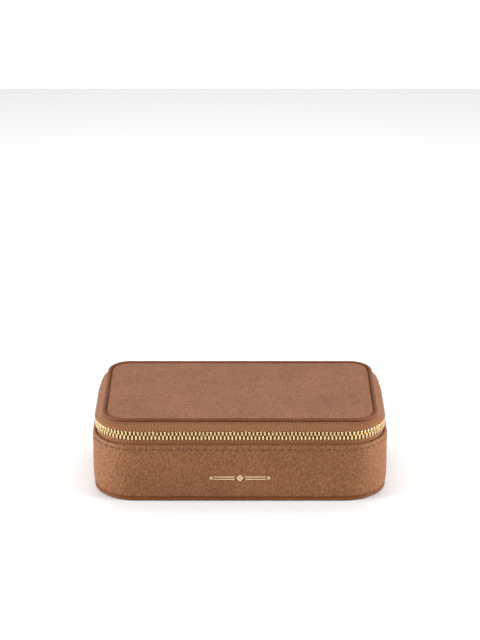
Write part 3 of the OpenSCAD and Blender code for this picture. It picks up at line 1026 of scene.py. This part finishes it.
def build_mark():
    """A plain foil ornament: a lozenge between two tapering lines on either side."""
    strokes = [*lozenge(0, LOZENGE, STROKE), *lozenge(0, LOZENGE * 0.42, STROKE * 0.6)]
    for side in (-1, 1):
        near, far = side * (LOZENGE + 1.2), side * (MARK_HALF_LENGTH - 2.6)
        for z in (-LINE_GAP / 2, LINE_GAP / 2):
            line = [(near, z - STROKE / 2), (far, z - STROKE / 3)]
            line += [(far, z + STROKE / 3), (near, z + STROKE / 2)]
            strokes.append(line[::side])
        strokes += lozenge(side * (MARK_HALF_LENGTH - 1.1), 1.1, STROKE * 0.8)
    points = [foil_strip(stroke) for stroke in strokes]
    slab = lathe_faces(2, 4)
    faces = [[index + 8 * count for index in face] for count in range(len(points)) for face in slab]
    mark = make_piece("foil_mark", points, faces, FOIL, smooth=False)
    settle(mark, "base", "leather")


# ---- The inside ----


def build_tray():
    """The suede tray, with a rolled rim over the board and a soft turn into its floor."""
    bottom, rim = box_mm("tray_floor")[0][2], box_mm("tray_wall")[1][2]
    outer = HALF_X - box_mm("tray_wall")[1][0] + 0.05
    tray_in, back_in, floor = outer + 2.6, outer + 1.8, bottom + 0.8
    shell = [(back_in, rim - 1.0), (outer, rim - 0.9)]
    lip = [(outer, rim - 0.9), (outer + 0.1, rim), (tray_in - 0.3, rim + 0.05)]
    lip = rounded(lip + [(tray_in, rim - 0.8)])
    inside = [(tray_in, rim - 0.8), (tray_in, floor + 2), (tray_in + 0.3, floor)]
    inside = resampled(rounded(inside + [(tray_in + 3, floor)]), 1.2)
    under, across = from_middle(back_in, bottom, 5), to_middle(tray_in + 4, floor, 24)

    def roughen(grid, profile):
        shown = (profile[:, 1] >= floor - 0.01)[:, None]
        return 0.06 * soft_noise(grid, 3.0, 51) * shown

    profile, nodes = joined(under, shell, lip, inside, across), ["tray_floor", "tray_wall"]
    build_lathed("tray", profile, SUEDE, "base", "suede", nodes, 1.4, roughen)


def edge_steps(low, high, radius, step):
    """Coordinates along one axis, closer together where the edge is rounded."""
    curve = [radius * (1 - math.cos(math.pi / 2 * index / 4)) for index in range(5)]
    count = max(2, round((high - low - 2 * radius) / step) + 1)
    inner = np.linspace(low + radius, high - radius, count)[1:-1]
    return np.array([low + c for c in curve] + list(inner) + [high - c for c in curve[::-1]])


def soft_block(node, radius, step, wobble, seed, lift=0.0):
    """A rounded suede block in a CAD node's place, with slightly uneven faces."""
    low, high = box_mm(node)
    low[2] += lift
    axes = [edge_steps(low[axis], high[axis], radius, step) for axis in range(3)]
    points, faces = np.zeros((0, 3)), []
    for axis in range(3):
        for value in (low[axis], high[axis]):
            spans = [[value] if other == axis else axes[other] for other in range(3)]
            grid = np.stack(np.meshgrid(*spans, indexing="ij"), -1).squeeze(axis)
            side = grid_faces(*grid.shape[:2], False, False)
            faces += [[index + len(points) for index in face] for face in side]
            points = np.vstack([points, grid.reshape(-1, 3)])
    core = np.clip(points, low + radius, high - radius)
    way = points - core
    way = way / np.maximum(np.linalg.norm(way, axis=1, keepdims=True), 1e-9)
    points = core + way * radius
    points = points - way * wobble * np.abs(soft_noise(points, 6.0, seed))[:, None]
    block = make_piece(node + "_suede", points, faces, SUEDE, 1e-6)
    settle(block, "base", "suede", node)
    return block


def build_dividers():
    for index, node in enumerate(("divider_left", "divider_right", "divider_cross")):
        soft_block(node, 1.0, 2.0, 0.06, 60 + index, lift=0.02)


def build_ring_pad():
    soft_block("ring_bed", 1.5, 3.0, 0.1, 70)
    for number in range(1, 6):
        build_roll(number)


def build_roll(number):
    """One stuffed roll: a tube gathered at its ends, with a slightly uneven skin."""
    node = f"ring_roll_{number}"
    low, high = box_mm(node)
    radius, half = (high[0] - low[0]) / 2, (high[1] - low[1]) / 2
    gathered = 0.14 * half
    end = half - gathered * (1 - np.cos(np.linspace(np.pi / 2, 0, 9)))
    straight = np.linspace(-half * 0.84, half * 0.84, 56)
    along = np.concatenate([-end[::-1], straight, end])
    turns = np.linspace(0, 2 * np.pi, 40, endpoint=False)
    reach = np.clip((half - np.abs(along)) / gathered, 0, 1)[:, None]
    share = np.maximum(np.sqrt(np.clip(1 - (1 - reach) ** 2, 0, 1)), 0.02)
    way = np.stack([np.cos(turns), np.zeros_like(turns), np.sin(turns)], -1)
    line = (low + high) / 2 + along[:, None] * np.array([0, 1, 0])
    grid = line[:, None] + (radius * share)[..., None] * way
    pleat = np.cos(turns * 13 + 2 * soft_noise(grid, 9.0, 80 + number)) * (1 - reach)
    uneven = 0.16 * soft_noise(grid, 7.0, 90 + number) + 0.07 * soft_noise(grid, 2.2, 95 + number)
    grid = push(grid, way, np.minimum(uneven - 0.1, 0) + 0.22 * np.minimum(pleat, 0) * share)
    roll = make_piece(node + "_suede", grid, lathe_faces, SUEDE_ROLL)
    settle(roll, "base", "suede", node)


def build_lid_lining():
    """The lid's suede panel, with a soft edge."""
    low, high = box_mm("lid_lining")
    edge = HALF_X - high[0]
    turn = [(edge + 2.0, low[2]), (edge + 0.2, low[2]), (edge, low[2] + 0.4), (edge + 0.1, high[2])]
    under, over = from_middle(edge + 2.0, low[2], 40), to_middle(edge + 2, high[2], 4)

    def roughen(grid, profile):
        return 0.05 * soft_noise(grid, 3.5, 55) * (profile[:, 1] < high[2] - 0.1)[:, None]

    profile, nodes = joined(under, rounded(turn, 2), over), ["lid_lining"]
    build_lathed("lid_suede", profile, SUEDE, "lid", "suede", nodes, 1.6, roughen, lid_corner)


def build_mirror_frame():
    """A rolled leather frame that laps the mirror's edge."""
    low, high = box_mm("mirror_frame")
    mirror_low, mirror_high = box_mm("lid_mirror")
    half = (high - low)[:2] / 2
    corner_r, corner_points, lap = 1.2, 7, 2.0
    under, border = low[2], half[0] - (mirror_high[0] - mirror_low[0]) / 2
    inner = border + lap
    section = [(0, high[2]), (0, under + 0.7), (0.7, under), (border, under - 0.02)]
    section += [(inner - 0.4, under + 0.05), (inner, under + 0.45), (inner - 0.2, under + 0.58)]
    section += [(border - 0.1, under + 0.58), (border - 0.1, high[2])]
    section = rounded(section, 2, closed=True)
    starts = 90 * np.arange(4)[:, None]
    turns = np.radians((starts + np.linspace(0, 90, corner_points)).ravel())
    sides = np.repeat([(1, 1), (-1, 1), (-1, -1), (1, -1)], corner_points, axis=0)
    way = np.stack([np.cos(turns), np.sin(turns)], -1)
    rows = []
    for inset, height in section:
        radius = max(corner_r - inset, 0.05)
        flat = sides * (half - inset - radius) + radius * way
        rows.append(np.column_stack([flat, np.full(len(turns), height)]))
    grid = np.stack(rows)
    grain = pebbles(grid, 1.5, 61)
    piece = make_piece("mirror_frame_leather", grid, torus_faces, EDGE_LEATHER, grain=grain)
    settle(piece, "lid", "leather", "mirror_frame")


# ---- CAD nodes that stay, with their own materials ----


def dress(node, material, bevel=0.0):
    """Gives a CAD node a material and, where it shows, a small bevel."""
    obj = frame["nodes"][node]
    obj.data.materials.clear()
    obj.data.materials.append(material)
    if bevel:
        modifier = obj.modifiers.new("edges", "BEVEL")
        modifier.width = bevel * MM
        modifier.segments = 3
        modifier.limit_method = "ANGLE"
        modifier.angle_limit = math.radians(35)


def dress_frame():
    for node in ("base_board", "wall_board", "top_board"):
        dress(node, BOARD)
    dress("lid_mirror", MIRROR, 0.4)
    for node in ("zip_bottom_stop", "zip_top_stops"):
        dress(node, BRASS, 0.25)
    dress("slider_inner_plate", POLISHED, 0.18)
    dress("slider_bail", POLISHED)


# ---- Floor, lights and camera, in metres ----

AIM = Vector((0.0, 0.0, 0.025))
ELEVATION = 25.0
DISTANCE = 1.25
LENS = 111.7
LOOK_UP = 3.13
FLOOR_REACH = 0.9
FILL_LIGHT, BACKDROP_LIGHT = 0.42, 1.05


def build_floor():
    reach = FLOOR_REACH / MM
    corners = [(-reach, -reach, 0), (reach, -reach, 0), (reach, reach, 0), (-reach, reach, 0)]
    make_piece("floor", corners, [[0, 1, 2, 3]], FLOOR, smooth=False)


def softbox(name, place, size, watts):
    light = bpy.data.lights.new(name, "AREA")
    light.shape = "RECTANGLE"
    light.size, light.size_y = size
    light.energy = watts
    obj = bpy.data.objects.new(name, light)
    obj.location = place
    obj.rotation_euler = (AIM - Vector(place)).to_track_quat("-Z", "Y").to_euler()
    bpy.context.scene.collection.objects.link(obj)


def build_world():
    """Soft light from all round, with a brighter backdrop that only the camera sees."""
    world = bpy.data.worlds.new("studio")
    world.use_nodes = True
    nodes, link = world.node_tree.nodes, world.node_tree.links.new
    fill, backdrop = nodes["Background"], nodes.new("ShaderNodeBackground")
    for background, strength in ((fill, FILL_LIGHT), (backdrop, BACKDROP_LIGHT)):
        background.inputs["Color"].default_value = (*WHITE, 1)
        background.inputs["Strength"].default_value = strength
    mix = nodes.new("ShaderNodeMixShader")
    link(nodes.new("ShaderNodeLightPath").outputs["Is Camera Ray"], mix.inputs["Fac"])
    link(fill.outputs["Background"], mix.inputs[1])
    link(backdrop.outputs["Background"], mix.inputs[2])
    link(mix.outputs["Shader"], nodes["World Output"].inputs["Surface"])
    bpy.context.scene.world = world


def build_lights():
    softbox("overhead", (0.0, 0.60, 1.2), (1.0, 0.7), 9.5)
    softbox("left", (-0.95, -0.25, 0.30), (0.5, 0.5), 14.0)
    softbox("right", (0.95, -0.25, 0.30), (0.5, 0.5), 14.0)
    build_world()


def build_camera():
    data = bpy.data.cameras.new("camera")
    data.lens = LENS
    data.sensor_width = 36.0
    camera = bpy.data.objects.new("camera", data)
    elevation = math.radians(ELEVATION)
    camera.location = AIM + DISTANCE * Vector((0, -math.cos(elevation), math.sin(elevation)))
    camera.rotation_euler = (math.radians(90 - ELEVATION + LOOK_UP), 0, 0)
    bpy.context.scene.collection.objects.link(camera)
    bpy.context.scene.camera = camera


build_wall()
build_stitches()
build_pipings()
build_underside()
build_top_panel()
build_tapes()
build_teeth()
build_hinge()
build_slider_cover()
build_pull()
build_mark()
build_tray()
build_dividers()
build_ring_pad()
build_lid_lining()
build_mirror_frame()
dress_frame()
build_floor()
build_lights()
build_camera()

bpy.context.scene.view_settings.view_transform = "Standard"
